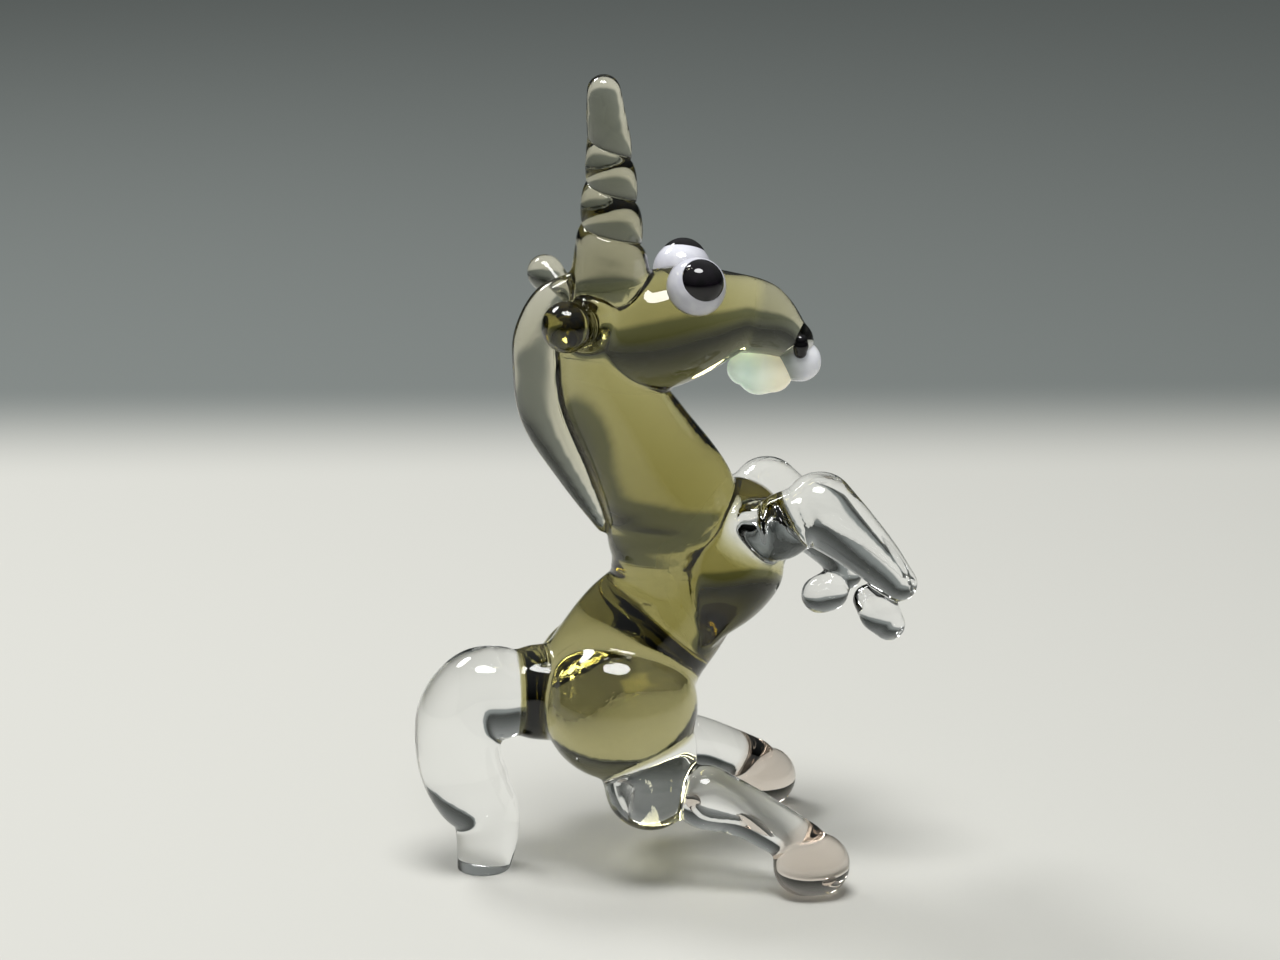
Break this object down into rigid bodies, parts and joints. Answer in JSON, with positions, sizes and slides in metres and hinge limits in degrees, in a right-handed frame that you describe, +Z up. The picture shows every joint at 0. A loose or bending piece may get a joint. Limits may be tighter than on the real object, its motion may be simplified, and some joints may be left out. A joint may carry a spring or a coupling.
{
  "type": "unicorn figurine",
  "caption": "Rearing unicorn figurine in flame-worked glass, standing on its two hind hooves and the tip of its tail, with a long spiral-grooved horn; a small ornament for a shelf.",
  "frame": {"origin": "On the ground, under the middle of the figure's box: the plane Z = 0 is the plane of the two hind hooves and the tail's tip.", "axes": "+X the way the animal faces, +Y to its left, +Z up."},
  "size_m": [0.031, 0.0204, 0.0503],
  "materials": {
    "smoke_glass": "flame-polished olive smoke glass",
    "light_smoke_glass": "flame-polished, a lighter olive smoke",
    "clear_glass": "flame-polished clear glass",
    "hoof_glass": "flame-polished glass with a faint tan tint",
    "opal_glass": "glossy milky opal glass, greenish white",
    "eye_glass": "glossy opaque glass, lavender grey",
    "black_glass": "glossy opaque black glass"
  },
  "bodies": {
    "root": {"barrel": "smoke_glass", "chest": "smoke_glass", "head": "smoke_glass", "horn": "smoke_glass", "left_ear": "smoke_glass", "left_eye_white": "eye_glass", "left_forearm": "clear_glass", "left_front_hoof": "hoof_glass", "left_haunch": "smoke_glass", "left_hind_hoof": "hoof_glass", "left_nostril": "black_glass", "left_pupil": "black_glass", "left_shank": "clear_glass", "left_shoulder": "clear_glass", "left_thigh": "clear_glass", "lower_lip": "opal_glass", "mane": "smoke_glass", "muzzle": "light_smoke_glass", "neck": "smoke_glass", "right_ear": "smoke_glass", "right_eye_white": "eye_glass", "right_forearm": "clear_glass", "right_front_hoof": "hoof_glass", "right_haunch": "smoke_glass", "right_hind_hoof": "hoof_glass", "right_nostril": "black_glass", "right_pupil": "black_glass", "right_shank": "clear_glass", "right_shoulder": "clear_glass", "right_thigh": "clear_glass", "tail": "clear_glass", "tail_dock": "smoke_glass", "upper_lip": "opal_glass"}
  },
  "joints": []
}
